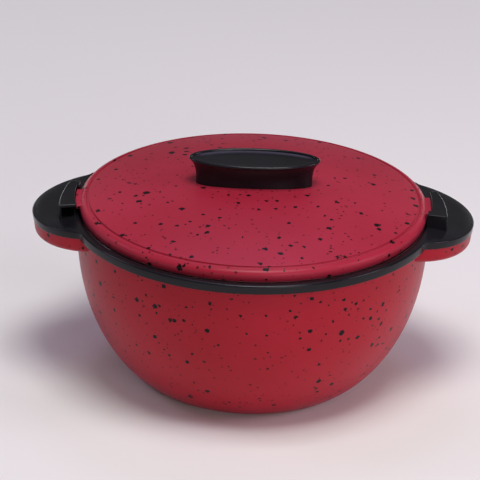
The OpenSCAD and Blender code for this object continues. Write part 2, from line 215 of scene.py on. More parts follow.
apart = maths(flecks, "MULTIPLY", cells.outputs["Distance"], given["Spacing"])
edge = maths(flecks, "MULTIPLY", maths(flecks, "SUBTRACT", big, apart), sharpness, use_clamp=True)
there = maths(flecks, "LESS_THAN", dice.outputs["Green"], given["Share"])
flecks.links.new(maths(flecks, "MULTIPLY", edge, there), made["Mask"])

# Grain: the very fine skin that a moulded surface takes from a blasted tool, with a slower
# drift in it from the way the melt ran.
grain = nodes_of("grain", [
    ("Vector", "NodeSocketVector", None), ("Fine", "NodeSocketFloat", 2200.0),
    ("Slow", "NodeSocketFloat", 22.0)],
    [("Height", "NodeSocketFloat"), ("Drift", "NodeSocketFloat")])
given, made = node(grain, "NodeGroupInput").outputs, node(grain, "NodeGroupOutput").inputs
fine = node(grain, "ShaderNodeTexNoise", Vector=given["Vector"], Scale=given["Fine"], Detail=2.0)
slow = node(grain, "ShaderNodeTexNoise", Vector=given["Vector"], Scale=given["Slow"], Detail=3.0)
grain.links.new(fine.outputs[0], made["Height"])
grain.links.new(slow.outputs[0], made["Drift"])


def use(tree, group, **wires):
    """Places a node group in a material with its own values."""
    made = tree.nodes.new("ShaderNodeGroup")
    made.node_tree = group
    for key, value in wires.items():
        if isinstance(value, bpy.types.NodeSocket):
            tree.links.new(value, made.inputs[key])
        else:
            made.inputs[key].default_value = value
    return made


def blend_colours(tree, share, first, second):
    """Mixes two colours by a share, each a colour or another node's socket."""
    made = node(tree, "ShaderNodeMix", {"data_type": "RGBA"})
    for key, value in (("Factor", share), (6, first), (7, second)):
        socket = made.inputs[key]
        if isinstance(value, bpy.types.NodeSocket):
            tree.links.new(value, socket)
        else:
            socket.default_value = value
    return made.outputs[2]


def speckled(name, grow, deep, bright):
    """Satin crimson plastic between a deep and a bright tone, with black flecks of three sizes
    and faint ones below the skin; grow enlarges the whole pattern. The smallest black ones
    crowd into patches."""
    material, tree = nodes_of(name)
    shader = tree.nodes["Principled BSDF"]
    where = node(tree, "ShaderNodeTexCoord").outputs["Object"]
    skin_grain = use(tree, grain, Vector=where, Fine=1700.0, Slow=9.0)
    crowd = node(tree, "ShaderNodeTexNoise", Vector=where, Scale=36.0, Detail=0.0)
    crowd = node(tree, "ShaderNodeMapRange", Value=crowd.outputs[0], From_Min=0.46, From_Max=0.62,
                 To_Min=0.12, To_Max=0.95).outputs[0]
    large, middle, tiny, faint = [
        use(tree, flecks, Vector=where, Spacing=spacing * grow, Size=size * grow,
            Share=share, Ragged=ragged)
        for spacing, size, share, ragged in (
            (0.0122, 0.0023, 0.75, 1.2), (0.0080, 0.00175, 0.95, 1.1),
            (0.0037, 0.0008, crowd, 0.8), (0.0042, 0.0009, 0.6, 0.8))]
    drift = node(tree, "ShaderNodeMapRange", Value=skin_grain.outputs["Drift"],
                 From_Min=0.35, From_Max=0.65)
    red = blend_colours(tree, drift.outputs[0], deep, bright)
    red = blend_colours(tree, faint.outputs[0], red, (0.11, 0.004, 0.008, 1))
    for layer in (tiny, middle, large):
        red = blend_colours(tree, layer.outputs[0], red, (0.0015, 0.001, 0.0015, 1))
    tree.links.new(red, shader.inputs["Base Color"])
    gloss = node(tree, "ShaderNodeMapRange", Value=skin_grain.outputs["Drift"],
                 To_Min=0.30, To_Max=0.42)
    tree.links.new(gloss.outputs[0], shader.inputs["Roughness"])
    bump = node(tree, "ShaderNodeBump", Height=skin_grain.outputs["Height"],
                Strength=0.10, Distance=0.0002)
    tree.links.new(bump.outputs[0], shader.inputs["Normal"])
    shader.inputs["Specular IOR Level"].default_value = 0.17
    shader.inputs["Sheen Weight"].default_value = 0.04
    shader.inputs["Sheen Roughness"].default_value = 0.35
    shader.inputs["Sheen Tint"].default_value = (0.62, 0.55, 1.0, 1)
    return material


crimson = speckled("speckled_crimson", 1.0, (0.355, 0.009, 0.020, 1), (0.410, 0.012, 0.028, 1))
outside = belly(bowl_r, base_r, rim_z)
inside = belly(bowl_r - bowl_wall, base_r - bowl_wall, rim_z - floor_z, floor_z)[::-1]
foot = np.array([[base_r - foot_w, 0], [base_r - foot_w, foot_recess],
                 [fill_r, foot_recess], [fill_r, floor_z]])
bowl_line = np.vstack([outside, foot, inside])
bowl_soft = np.zeros(len(bowl_line))
bowl_soft[len(outside) - 1] = 0.9
bowl_soft[len(outside):len(outside) + 3] = 0.5, 0.8, 0.3
bowl_shell = turned("bowl_shell", softened(bowl_line, bowl_soft), "bowl", "red_shell", crimson, turns=240)
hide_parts("outer_bowl")

# ---------------------------------------------------------------------------------------
# Ear pans. The red undersides of the two ears, moulded on the bowl as shallow trays with a
# rounded lower edge. They hide the hollow plates above, and a screw goes through each corner.
collar_h, collar_lip, rim_w, seat_drop = 6, 5, 5.4, 2
top_z = rim_z + collar_h
collar_r = bowl_r + collar_lip
seat_r = collar_r - rim_w
ear_reach, ear_r, ear_t, ear_tilt, ear_flat = 26, 52, 6, radians(7), 2.4
ear_x = collar_r + ear_reach - ear_r
tilt_x = seat_r + ear_flat
pan_r, pan_depth, pan_round, pan_wall = ear_r - 0.3, 10.5, 4.5, 2.2
screw_edge, screw_turn, screw_r, hole_fit, boss_h = 8, radians(27), 1.5, 0.3, 1.5
head_r, head_h = 2.1 * screw_r, 1.25 * screw_r
head_seat = head_h + 0.1
screw_x = ear_x + (pan_r - screw_edge) * cos(screw_turn)
screw_y = (pan_r - screw_edge) * sin(screw_turn)


def sloped(level):
    """Tips places on a level ear, heights counted from the collar's top, down by the ear's
    slope about the line where the slope begins."""
    x, y, z = level[..., 0] - tilt_x, level[..., 1], level[..., 2]
    return np.stack([tilt_x + x * cos(ear_tilt) + z * sin(ear_tilt), y,
                     top_z - x * sin(ear_tilt) + z * cos(ear_tilt)], -1)


def both_ends(places, faces):
    """The same shape at both ears: the second is the first after half a turn."""
    other = places * np.array([-1, -1, 1])
    return np.vstack([places, other]), np.vstack([faces, faces + len(places)])


def belly_at(z):
    """Radius of the bowl's outside at a height, from the belly's two formulas."""
    s = np.clip(1 - z / rim_z, 0, 1) ** (1 / 0.84)
    return base_r + (bowl_r - base_r) * np.clip(1 - s * s, 0, 1) ** 0.75


def walked(path, stop, n):
    """Each path is walked up to its own stop, a length along it, in n even steps."""
    step = np.linalg.norm(np.diff(path, axis=1), axis=2)
    along = np.concatenate([np.zeros((len(path), 1)), np.cumsum(step, 1)], 1)
    want = np.linspace(0, 1, n)[None] * stop[:, None]
    at = np.clip((along[:, :, None] <= want[:, None, :]).sum(1) - 1, 0, path.shape[1] - 2)
    row = np.arange(len(path))[:, None]
    span = along[row, at + 1] - along[row, at]
    share = (want - along[row, at]) / np.where(span < 1e-9, 1, span)
    return path[row, at] + share[..., None] * (path[row, at + 1] - path[row, at])


def joined(*parts):
    """One array of places and one of faces from several pairs. A face of three corners
    repeats its last one, and the repeat is dropped when the skin is made."""
    places, faces, count = [], [], 0
    for part_places, part_faces in parts:
        part_faces = np.asarray(part_faces)
        if part_faces.shape[1] == 3:
            part_faces = part_faces[:, [0, 1, 2, 2]]
        places.append(part_places)
        faces.append(part_faces + count)
        count += len(part_places)
    return np.vstack(places), np.vstack(faces)


def filled(loops):
    """Places and triangles that fill a flat outline around its holes."""
    return np.vstack(loops), tessellate_polygon([[Vector(p) for p in loop] for loop in loops])


def rings_at(x, y, rings, n=40):
    """Rings (radius, height) about a point, joined into a skin. The first is also returned."""
    a = 2 * np.pi * np.arange(n) / n
    rings = np.asarray(rings, float)
    places = np.stack([x + rings[:, :1] * np.cos(a), y + rings[:, :1] * np.sin(a),
                       rings[:, 1:] + 0 * a], -1)
    return places[0], (places.reshape(-1, 3), lattice(len(rings), n, False, True))


# The side, from a little inside the plate above, and its rounded lower edge are walked down
# until they have gone just through the belly.
tucked_in, into_belly = 0.6, 0.4
turn = np.radians(np.linspace(-79, 79, 150))
lean = np.stack([np.cos(turn), np.sin(turn)], -1)
drop = np.linspace(-tucked_in, pan_depth - pan_round, 12)[:-1]
curl = np.radians(np.linspace(0, 90, 14))
inset = np.concatenate([0 * drop, pan_round * (1 - np.cos(curl)), [pan_round + 1]])
depth = np.concatenate([drop, pan_depth - pan_round + pan_round * np.sin(curl), [pan_depth]])
side = np.array([ear_x, 0]) + lean[:, None] * (pan_r - inset)[None, :, None]
under = side[:, -1:] * (1 - np.linspace(0.005, 0.3, 60))[None, :, None]
level = np.concatenate([side, under], 1)
fall = np.concatenate([depth, np.full(60, pan_depth)])
fall = np.broadcast_to(-ear_t - fall[None, :, None], level.shape[:2] + (1,))
level = np.concatenate([level, fall], 2)
slope_path = sloped(level)
clear = np.hypot(slope_path[..., 0], slope_path[..., 1]) - belly_at(slope_path[..., 2])
hit = np.concatenate([clear < 0, np.ones((len(level), 1), bool)], 1).argmax(1)
hit = np.clip(hit, 1, level.shape[1] - 1)
row = np.arange(len(level))
share = clear[row, hit - 1] / np.maximum(clear[row, hit - 1] - clear[row, hit], 1e-9)
share = np.clip(share, 0, 1)
step = np.linalg.norm(np.diff(level, axis=1), axis=2)
along = np.concatenate([np.zeros((len(level), 1)), np.cumsum(step, 1)], 1)
stop = along[row, hit - 1] + share * step[row, hit - 1] + into_belly
side_length = along[0, len(inset) - 1]
pan_side = walked(level, np.minimum(stop, side_length), 40)

# Its flat floor, with two screw holes that step in to a seat for the head.
floor_rows = stop > side_length + 0.5
far_edge = walked(level, stop, 2)[floor_rows, -1]
pan_floor = -ear_t - pan_depth
holes = [rings_at(screw_x, y, [
    (head_r + hole_fit + 0.3, pan_floor), (head_r + hole_fit, pan_floor + 0.3),
    (head_r + hole_fit, pan_floor + head_seat), (screw_r + hole_fit, pan_floor + head_seat),
    (screw_r + hole_fit, pan_floor + pan_wall + boss_h)]) for y in (-screw_y, screw_y)]
floor_line = np.vstack([pan_side[floor_rows, -1], far_edge[::-1]])
places, faces = joined((pan_side.reshape(-1, 3), lattice(len(level), 40, False, False)),
                       filled([floor_line] + [first for first, _ in holes]),
                       *[skin_part for _, skin_part in holes])
pans, faces = both_ends(sloped(places), faces)
ear_pans = skin("ear_pans", pans, faces, "bowl", "red_shell", crimson)
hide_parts("outer_bowl")

# ---------------------------------------------------------------------------------------
# Collar. A ring of charcoal polypropylene pressed into the shell. It holds the steel liner's
# flange on a ledge, and the lid's rim drops inside its raised edge.
charcoal, tree = nodes_of("charcoal_plastic")
shader = tree.nodes["Principled BSDF"]
where = node(tree, "ShaderNodeTexCoord").outputs["Object"]
skin_grain = use(tree, grain, Vector=where, Fine=2400.0, Slow=30.0)
drift = node(tree, "ShaderNodeMapRange", Value=skin_grain.outputs["Drift"],
             From_Min=0.3, From_Max=0.7)
tone = blend_colours(tree, drift.outputs[0], (0.0070, 0.0065, 0.0084, 1),
                     (0.0125, 0.0116, 0.0146, 1))
tree.links.new(tone, shader.inputs["Base Color"])
gloss = node(tree, "ShaderNodeMapRange", Value=skin_grain.outputs["Drift"],
             To_Min=0.13, To_Max=0.21)
tree.links.new(gloss.outputs[0], shader.inputs["Roughness"])
bump = node(tree, "ShaderNodeBump", Height=skin_grain.outputs["Height"],
            Strength=0.16, Distance=0.0002)
tree.links.new(bump.outputs[0], shader.inputs["Normal"])
shader.inputs["Specular IOR Level"].default_value = 0.22

foam_rim = 8
liner_r = bowl_r - bowl_wall - foam_rim
seat_z = top_z - seat_drop
slip, ledge_t, spigot_h, spigot_t = 0.3, 2.5, 6, 2.2
spigot_r = bowl_r - bowl_wall - slip
ring = np.array([
    [collar_r, rim_z], [collar_r, top_z], [seat_r, top_z], [seat_r, seat_z],
    [liner_r + slip, seat_z], [liner_r + slip, seat_z - ledge_t],
    [spigot_r - spigot_t, seat_z - ledge_t], [spigot_r - spigot_t, rim_z - spigot_h],
    [spigot_r, rim_z - spigot_h], [spigot_r, rim_z]])
ring = softened(ring, [0.5, 1.2, 0.5, 0.3, 0.3, 0.3, 0.4, 0.3, 0.3, 0.3])
collar = turned("collar", ring, "bowl", "black_plastic", charcoal, turns=240)
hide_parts("rim_collar")

# Ear plates. Part of the collar's moulding: a D-shaped plate on each side that slopes down by
# 7 degrees, blends into the collar with a concave fillet, and has a softly rounded top edge.
# Its inner ends lie inside the ring.
ear_fillet, edge_soft, low_soft, crown, crown_w = 10, 1.3, 0.9, 0.7, 9
top_end_r, low_end_r, below_ring = 121.4, 118.5, 0.03
far, near = collar_r + ear_fillet, ear_r + ear_fillet
fx = (far ** 2 - near ** 2 + ear_x ** 2) / (2 * ear_x)
fy = np.sqrt(far ** 2 - fx ** 2)
reach = np.arctan2(fy, fx - ear_x)
hug = np.arctan2(fy, fx)
t = np.linspace(-reach, reach, 150)
round_end = np.stack([ear_x + ear_r * np.cos(t), ear_r * np.sin(t)], -1)
round_out = np.stack([np.cos(t), np.sin(t)], -1)
t = np.linspace(np.pi + hug, np.pi + reach, 26)[:-1]
web = np.stack([fx + ear_fillet * np.cos(t), fy + ear_fillet * np.sin(t)], -1)
web_out = -np.stack([np.cos(t), np.sin(t)], -1)
flip = np.array([1, -1])
line = np.vstack([web * flip, round_end, web[::-1]])
out = np.vstack([web_out * flip, round_out, web_out[::-1]])
curl = np.radians(np.linspace(0, 90, 9))
back = np.concatenate([[3, low_soft + 0.5], low_soft * (1 - np.sin(curl)), [0],
                       edge_soft * (1 - np.cos(curl))])
high = np.concatenate([[-ear_t, -ear_t], -ear_t + low_soft * (1 - np.cos(curl)), [-ear_t / 2],
                       -edge_soft + edge_soft * np.sin(curl)])
edge_rows = line[:, None] - out[:, None] * back[None, :, None]
inner = edge_rows[:, -1]
r_in = np.linalg.norm(inner, axis=1)
s = np.linspace(0, 1, 26)[1:] ** 1.3
top_in = inner[:, None] * (1 - s[None, :] * (1 - top_end_r / r_in)[:, None])[..., None]
bottom_r = np.linalg.norm(edge_rows[:, 0], axis=1)
low_in = edge_rows[:, :1] * (low_end_r / bottom_r)[:, None, None]
level = np.concatenate([low_in, edge_rows, top_in], 1)
from_edge = np.linalg.norm(top_in - line[:, None], axis=2)
puff = crown * np.clip(1 - from_edge / crown_w, 0, 1) ** 2
puff_edge = crown * np.clip(1 - edge_soft / crown_w, 0, 1) ** 2
heights = np.concatenate([np.full((len(line), 1), -ear_t),
                          np.broadcast_to(high, (len(line), len(high))), -puff], 1)
heights[:, len(high) - len(curl) + 1:len(high) + 1] -= np.linspace(0, puff_edge, len(curl))[None]
plate = sloped(np.concatenate([level, heights[..., None]], 2))
plate[..., 2] = np.minimum(plate[..., 2], top_z - below_ring)
plates, faces = both_ends(plate.reshape(-1, 3), lattice(*plate.shape[:2], False, True))
ear_plates = skin("ear_plates", plates, faces, "bowl", "black_plastic", charcoal)
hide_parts("rim_collar")

# ---------------------------------------------------------------------------------------
# Catches. A roofed channel stands on each ear against the lid's edge, a little nearer the
# front. One end is closed, and the short pocket there is what a lug of the lid turns into.
lid_gap, lug_reach = 1.1, 2.5
lid_r = seat_r - lid_gap
lug_r = lid_r + lug_reach
roof_in_r = lug_r + slip
catch_w, catch_h, roof_t, catch_wall = 10.3, 9.6, 2.4, 1.8
catch_r, catch_z = roof_in_r + catch_w, top_z + catch_h
catch_half, pocket_span, end_wall, catch_shift, catch_skew = 9.5, 3.4, 1.2, 2, 20


def ring_blocks(r, a_cuts, z_cuts, solid_cells):
    """Skin round the filled cells of a lattice in radius, turn and height. The corner at turn
    a and height z lies at (r cos a, r sin a, z), where r is given for each radius and turn; a
    face is kept where a filled cell meets an empty one."""
    r = np.repeat(r[:, :, None], len(z_cuts), 2)
    a = np.radians(a_cuts)[None, :, None] + 0 * r
    z = np.asarray(z_cuts, float)[None, None, :] + 0 * r
    places = np.stack([r * np.cos(a), r * np.sin(a), z], -1).reshape(-1, 3)
    number = np.arange(r.size).reshape(r.shape)
    solid = np.pad(solid_cells, 1)
    found = []
    for axis in range(3):
        others = [k for k in range(3) if k != axis]
        for side in (-1, 1):
            bare = solid & ~np.roll(solid, -side, axis)
            cell = np.argwhere(bare) - 1
            cell[:, axis] += (side > 0)
            corner = [cell.copy() for _ in range(4)]
            corner[1][:, others[0]] += 1
            corner[2][:, others[0]] += 1
            corner[2][:, others[1]] += 1
            corner[3][:, others[1]] += 1
            found.append(np.stack([number[tuple(c.T)] for c in corner], 1))
    used, faces = np.unique(np.vstack(found), return_inverse=True)
    return places[used], faces.reshape(-1, 4)


def turned_by(places, degrees):
    """Places turned about the bowl's axis."""
    c, s = cos(radians(degrees)), sin(radians(degrees))
    return places @ np.array([[c, s, 0], [-s, c, 0], [0, 0, 1]])


def soft_edges(piece, width):
    """A Bevel that rounds a piece's sharp edges."""
    soft = piece.modifiers.new("soft edges", "BEVEL")
    soft.width, soft.segments = width * mm, 3
    soft.limit_method, soft.angle_limit = "ANGLE", radians(40)
    soft.harden_normals = True


def skewed(radius, skew):
    """Radius, seen from the bowl's axis, of a circle whose centre lies skew along Y: at turn
    a it is skew * sin(a) + sqrt(radius**2 - (skew * cos(a))**2)."""
    a = np.radians(a_cuts)
    return skew * np.sin(a) + np.sqrt(radius ** 2 - (skew * np.cos(a)) ** 2)


a_cuts = np.unique(np.round(np.concatenate([
    np.linspace(-catch_half, -catch_half + end_wall, 3),
    np.linspace(-catch_half + pocket_span, catch_half, 16)]), 4))
catch_root = 3
z_cuts = np.array([top_z - catch_root, catch_z - roof_t, catch_z])
ri, ai, zi = np.meshgrid(np.arange(3), np.arange(len(a_cuts) - 1), np.arange(2), indexing="ij")
middle = (a_cuts[:-1] + a_cuts[1:])[ai] / 2
roof, wall = (zi == 1) & (ri >= 1), ri == 2
closed = middle < -catch_half + end_wall
pocket = (middle < -catch_half + pocket_span) & (zi == 1)
sides = []
for skew, at in ((-catch_skew, -catch_shift), (catch_skew, 180 + catch_shift)):
    r = np.stack([seat_r + 0 * a_cuts, roof_in_r + 0 * a_cuts,
                  skewed(catch_r - catch_wall, skew), skewed(catch_r, skew)])
    places, faces = ring_blocks(r, a_cuts, z_cuts, roof | wall | closed | pocket)
    sides.append((turned_by(places, at), faces))
catches = skin("catches", *joined(*sides), "bowl", "black_plastic", charcoal)
soft_edges(catches, 0.6)
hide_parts("rim_collar")

# ---------------------------------------------------------------------------------------
# Liner. Food-grade steel sheet, spun over a former, with a flat flange that lies on the
# collar's ledge under the seal.
steel, tree = nodes_of("spun_steel")
shader = tree.nodes["Principled BSDF"]
where = node(tree, "ShaderNodeTexCoord").outputs["Object"]
axes = node(tree, "ShaderNodeSeparateXYZ", Vector=where)
flat = node(tree, "ShaderNodeCombineXYZ", X=axes.outputs["X"], Y=axes.outputs["Y"])
radius = node(tree, "ShaderNodeVectorMath", {"operation": "LENGTH"}, in_0=flat.outputs[0])
rings = node(tree, "ShaderNodeCombineXYZ", X=radius.outputs["Value"], Y=axes.outputs["Z"])
rings = node(tree, "ShaderNodeTexNoise", Vector=rings.outputs[0], Scale=1500.0, Detail=3.0)
rub = node(tree, "ShaderNodeTexNoise", Vector=where, Scale=35.0, Detail=3.0)
shine = maths(tree, "MULTIPLY_ADD", rings.outputs[0], 0.16, 0.16)
haze = maths(tree, "SUBTRACT", maths(tree, "MULTIPLY_ADD", rub.outputs[0], 0.10, shine), 0.05)
tree.links.new(haze, shader.inputs["Roughness"])
tone = blend_colours(tree, rings.outputs[0], (0.50, 0.50, 0.51, 1), (0.66, 0.66, 0.67, 1))
tree.links.new(tone, shader.inputs["Base Color"])
shader.inputs["Metallic"].default_value = 1.0
bump = node(tree, "ShaderNodeBump", Height=rings.outputs[0], Strength=0.25, Distance=0.0001)
tree.links.new(bump.outputs[0], shader.inputs["Normal"])

liner_t, liner_base_r, foam_floor = 0.6, 58, 12
liner_z = floor_z + foam_floor
flange_z = seat_z + liner_t
flange_r = seat_r - lid_gap - slip
outer = belly(liner_r, liner_base_r, seat_z - liner_z, liner_z)[::-1]
inner = belly(liner_r - liner_t, liner_base_r - liner_t / 2, seat_z - liner_z - liner_t,
              liner_z + liner_t)
liner_line = np.vstack([
    [[0, liner_z]], outer, [[flange_r, seat_z], [flange_r, flange_z], [liner_r - liner_t, flange_z]],
    inner, [[0, liner_z + liner_t]]])
liner_soft = np.zeros(len(liner_line))
liner_soft[len(outer) + 1:len(outer) + 4] = 0.25, 0.25, 1.5
liner = turned("steel_liner", softened(liner_line, liner_soft), "bowl", "liner_steel", steel)
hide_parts("inner_bowl")

# Foam. Rigid polyurethane poured between shell and liner, and inside the lid. It never shows
# on a whole casserole, and keeps the food hot.
foam, tree = nodes_of("poured_foam")
shader = tree.nodes["Principled BSDF"]
where = node(tree, "ShaderNodeTexCoord").outputs["Object"]
bubbles = node(tree, "ShaderNodeTexVoronoi", Vector=where, Scale=900.0)
age = use(tree, grain, Vector=where, Fine=300.0, Slow=20.0)
tone = blend_colours(tree, age.outputs["Drift"], (0.80, 0.68, 0.38, 1), (0.88, 0.79, 0.52, 1))
tree.links.new(tone, shader.inputs["Base Color"])
shader.inputs["Roughness"].default_value = 0.9
bump = node(tree, "ShaderNodeBump", Height=bubbles.outputs["Distance"], Strength=0.6, Distance=0.0005)
tree.links.new(bump.outputs[0], shader.inputs["Normal"])
for name in ("bowl_foam", "lid_foam"):
    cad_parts[name].data.materials.clear()
    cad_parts[name].data.materials.append(foam)

# Plug. Closes the hole in the foot that the foam was poured through.
plug_line = softened(np.array([
    [0, foot_recess - 1], [fill_r + 2.5, foot_recess - 1], [fill_r + 2.5, foot_recess],
    [fill_r - slip / 2, foot_recess], [fill_r - slip / 2, floor_z], [0, floor_z]]),
    [0, 0.4, 0.2, 0.1, 0.4, 0])
plug = turned("foot_plug", plug_line, "bowl", "black_plastic", charcoal, turns=64)
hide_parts("base_plug")

# Ear screws. Zinc-plated tapping screws, head down: two pull each pan against the ear above
# it, and their heads lie in the pan's stepped holes.
zinc, tree = nodes_of("zinc_plate")
shader = tree.nodes["Principled BSDF"]
where = node(tree, "ShaderNodeTexCoord").outputs["Object"]
wear = use(tree, grain, Vector=where, Fine=2600.0, Slow=260.0)
tone = blend_colours(tree, wear.outputs["Drift"], (0.42, 0.43, 0.45, 1), (0.62, 0.63, 0.64, 1))
tree.links.new(tone, shader.inputs["Base Color"])
gloss = node(tree, "ShaderNodeMapRange", Value=wear.outputs["Height"], To_Min=0.24, To_Max=0.5)
tree.links.new(gloss.outputs[0], shader.inputs["Roughness"])
shader.inputs["Metallic"].default_value = 1.0


def screw(length):
    """A pan-head screw, head down, with its seat at height 0. Ridges round the shank stand for
    its thread, and the head's face has a cross recess."""
    rim, thread_start, thread_end, pitch = -head_h, 0.6, 1.2, 1.1
    shank = [(screw_r + 0.5, 0), (screw_r - 0.15, 0.3)]
    for z in np.arange(thread_start, length - thread_end, pitch):
        shank += [(screw_r - 0.3, z), (screw_r, z + 0.3), (screw_r, z + 0.4), (screw_r - 0.3, z + 0.7)]
    rings = [(head_r - 0.6, rim), (head_r - 0.2, rim + 0.15), (head_r, rim + 0.6), (head_r, -0.1),
             (head_r - 0.1, 0)] + shank + [(screw_r - 0.3, length - 1), (0.05, length)]
    first, body = rings_at(0, 0, rings, 32)
    w, arm, recess, narrowed = 0.42, 1.75, (0, 0.5, 1.2), 0.6
    corner = np.array([[arm, w], [w, w], [w, arm]])
    quarters = (1, 0), (0, 1), (-1, 0), (0, -1)
    cross = np.vstack([corner @ np.array([[c, s], [-s, c]]) for c, s in quarters])
    slot = [np.column_stack([cross, np.full(len(cross), rim + deep)]) for deep in recess]
    slot[2][:, :2] *= narrowed
    walls = (np.vstack(slot), lattice(3, len(cross), False, True))
    return joined(body, filled([first, slot[0]]), walls, filled([slot[2]]))


def pair_of(length, *seats):
    """A screw of the given length at each seat."""
    places, faces = screw(length)
    return joined(*[(places + np.array(seat), faces) for seat in seats])


seat_floor = pan_floor + head_seat
pair = pair_of(pan_depth - head_seat, (screw_x, -screw_y, seat_floor), (screw_x, screw_y, seat_floor))
ear_screws = skin("ear_screw_set", *both_ends(sloped(pair[0]), pair[1]), "bowl", "screw_steel", zinc)
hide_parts("ear_screws")

# ---------------------------------------------------------------------------------------
# Seal. A ring of grey silicone under the lid's inner cover; the lid rests on it.
silicone, tree = nodes_of("grey_silicone")
shader = tree.nodes["Principled BSDF"]
where = node(tree, "ShaderNodeTexCoord").outputs["Object"]
bloom = use(tree, grain, Vector=where, Fine=1200.0, Slow=60.0)
tone = blend_colours(tree, bloom.outputs["Drift"], (0.42, 0.42, 0.41, 1), (0.52, 0.52, 0.50, 1))
tree.links.new(tone, shader.inputs["Base Color"])
gloss = node(tree, "ShaderNodeMapRange", Value=bloom.outputs["Height"], To_Min=0.5, To_Max=0.65)
tree.links.new(gloss.outputs[0], shader.inputs["Roughness"])
shader.inputs["Subsurface Weight"].default_value = 0.1
shader.inputs["Subsurface Scale"].default_value = 0.002

seal_h, seal_w = 2.5, 4
lid_wall = 2.4
cover_r = lid_r - lid_wall - slip
seal_r, seal_top = cover_r - slip, flange_z + seal_h
seal_line = softened(np.array([
    [seal_r - seal_w, flange_z], [seal_r, flange_z], [seal_r, seal_top], [seal_r - seal_w, seal_top]]),
    [0.4, 0.4, 0.6, 0.6])
seal = turned("seal_ring", seal_line, "seal", "seal_silicone", silicone)
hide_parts("lid_seal")

# ---------------------------------------------------------------------------------------
# Lid. A shallow dome in the bowl's own speckled crimson, with a fine groove around it, a
# rounded shoulder, and two thin lugs moulded on its side that reach into the catches.
lid_crimson = speckled("speckled_crimson_lid", 1.18, (0.335, 0.016, 0.036, 1),
                       (0.390, 0.022, 0.049, 1))
lid_clear, lid_side_h, lid_belly_h, lid_tuck = 0.6, 8.8, 4.8, 1.6
dome_h, shoulder_w, groove_r = 11.7, 5, 1.0
lid_z = flange_z + lid_clear
shoulder_z, dome_z = lid_z + lid_side_h, lid_z + lid_side_h + dome_h
dome_r = lid_r - shoulder_w
dome_ball = (dome_r ** 2 + dome_h ** 2) / (2 * dome_h)


def dome(wall, out_r, n=60):
    """Points (r, z) on a ball's cap, thinned by a wall, from the axis outward."""
    r = out_r * np.linspace(0, 1, n) ** 0.8
    return np.stack([r, dome_z - dome_ball + np.sqrt((dome_ball - wall) ** 2 - r ** 2)], 1)


def lid_side(wall, n=26):
    """Points (r, z) on a quarter of an ellipse, from the dome's edge to the lid's widest line."""
    t = np.radians(np.linspace(90, 0, n))
    return np.stack([dome_r + (shoulder_w - wall) * np.cos(t),
                     lid_z + lid_belly_h + (lid_side_h - lid_belly_h - wall) * np.sin(t)], 1)


groove_x, groove_z = dome_r - groove_r / 2, shoulder_z
cap, flank = dome(0, dome_r), lid_side(0)
cap = cap[np.hypot(cap[:, 0] - groove_x, cap[:, 1] - groove_z) > groove_r]
flank = flank[np.hypot(flank[:, 0] - groove_x, flank[:, 1] - groove_z) > groove_r]
start = np.arctan2(cap[-1, 1] - groove_z, cap[-1, 0] - groove_x)
end = np.arctan2(flank[0, 1] - groove_z, flank[0, 0] - groove_x)
t = np.linspace(start if start > 0 else start + 2 * np.pi, end + 2 * np.pi, 14)
groove = np.stack([groove_x + groove_r * np.cos(t), groove_z + groove_r * np.sin(t)], 1)
t = np.radians(np.linspace(0, 90, 16))[1:]
tuck = np.stack([lid_r - lid_tuck * (1 - np.cos(t)), lid_z + lid_belly_h * (1 - np.sin(t))], 1)
lid_line = np.vstack([
    cap, groove, flank, tuck, [[lid_r - lid_wall, lid_z]],
    lid_side(lid_wall)[::-1], dome(lid_wall, dome_r)[::-1]])
lid_soft = np.zeros(len(lid_line))
lid_soft[len(cap)] = lid_soft[len(cap) + len(groove) - 1] = 0.25
lid_soft[len(cap) + len(groove) + len(flank) + len(tuck) - 1:][:2] = 0.25, 0.3
lid = turned("lid_dome", softened(lid_line, lid_soft), "lid", "red_shell", lid_crimson, turns=240)
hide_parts("lid_shell")

lug_t, lug_span, lug_play, lug_root = 2.6, 13.3, 0.3, 0.1
lug_rear = catch_half - pocket_span - lug_play
lug_z = catch_z - roof_t - slip - lug_t
a_cuts = np.linspace(-lug_rear, lug_span - lug_rear, 14)
r = np.stack([lid_r - lid_wall + lug_root + 0 * a_cuts, lug_r + 0 * a_cuts])
solid = np.ones((1, len(a_cuts) - 1, 1), bool)
places, faces = ring_blocks(r, a_cuts, [lug_z, lug_z + lug_t], solid)
pair = joined(*[(turned_by(places, at), faces) for at in (-catch_shift, 180 + catch_shift)])
lugs = skin("lid_lugs", *pair, "lid", "red_shell", lid_crimson)
soft_edges(lugs, 0.5)
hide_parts("lid_shell")

# Lid cover. Thin pressed steel that closes the foam from below; its flat rim sits on the seal.
cover_t, cover_round, cover_gap, cover_depth = 0.5, 3, 3, 10.5
skirt_r, cover_z = liner_r - cover_gap, seal_top - cover_depth
cover_line = softened(np.array([
    [0, cover_z], [skirt_r, cover_z], [skirt_r, seal_top], [cover_r, seal_top],
    [cover_r, seal_top + cover_t], [skirt_r - cover_t, seal_top + cover_t],
    [skirt_r - cover_t, cover_z + cover_t], [0, cover_z + cover_t]]),
    [0, cover_round, 0.3, 0.2, 0.2, 0.8, cover_round - cover_t, 0], n=10)
cover = turned("lid_pressing", cover_line, "lid", "liner_steel", steel)
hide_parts("lid_cover")

# ---------------------------------------------------------------------------------------
# Knob. A hollow oval moulding in charcoal plastic: drawn in at its foot, flaring to a rounded
# lip, with a shallow dish in the top for the thumb.
knob_l, knob_w, knob_h, knob_waist, dish_d, dish_slope = 89, 35, 17.7, 5, 2.2, 6.6
knob_lip, lip_w, crest_trim = 1.2, 2.4, 0.06
foot_blend, foot_sink = 8, 0.05
side_h = knob_h - knob_lip


def on_dome(x, y):
    """Height of the lid's dome at a place."""
    return dome_z - dome_ball + np.sqrt(dome_ball ** 2 - x ** 2 - y ** 2)


